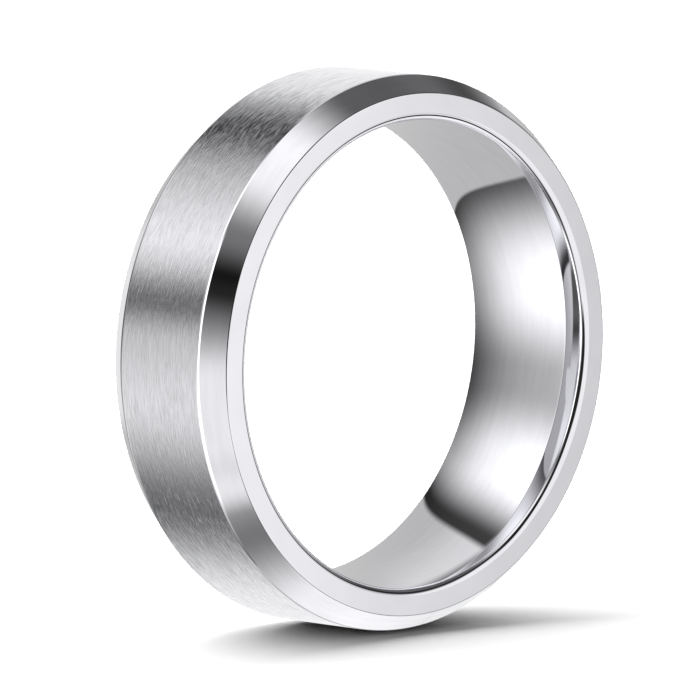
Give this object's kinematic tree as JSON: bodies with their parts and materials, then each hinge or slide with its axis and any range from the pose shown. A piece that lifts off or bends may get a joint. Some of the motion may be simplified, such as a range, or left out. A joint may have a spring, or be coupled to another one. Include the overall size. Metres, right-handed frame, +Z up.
{
  "type": "wedding band",
  "caption": "Plain white-metal wedding band with a flat satin centre, polished bevelled edges and a polished comfort-fit bore.",
  "frame": {"origin": "centre of the bore, halfway between the two end faces", "axes": "+Y along the ring's axis, +Z up with the ring standing on its rim, +X across"},
  "size_m": [0.0242, 0.007, 0.0242],
  "materials": {
    "band_metal": "polished white metal, with a satin grain round the flat outer band"
  },
  "bodies": {
    "root": {"band": "band_metal"}
  },
  "joints": []
}
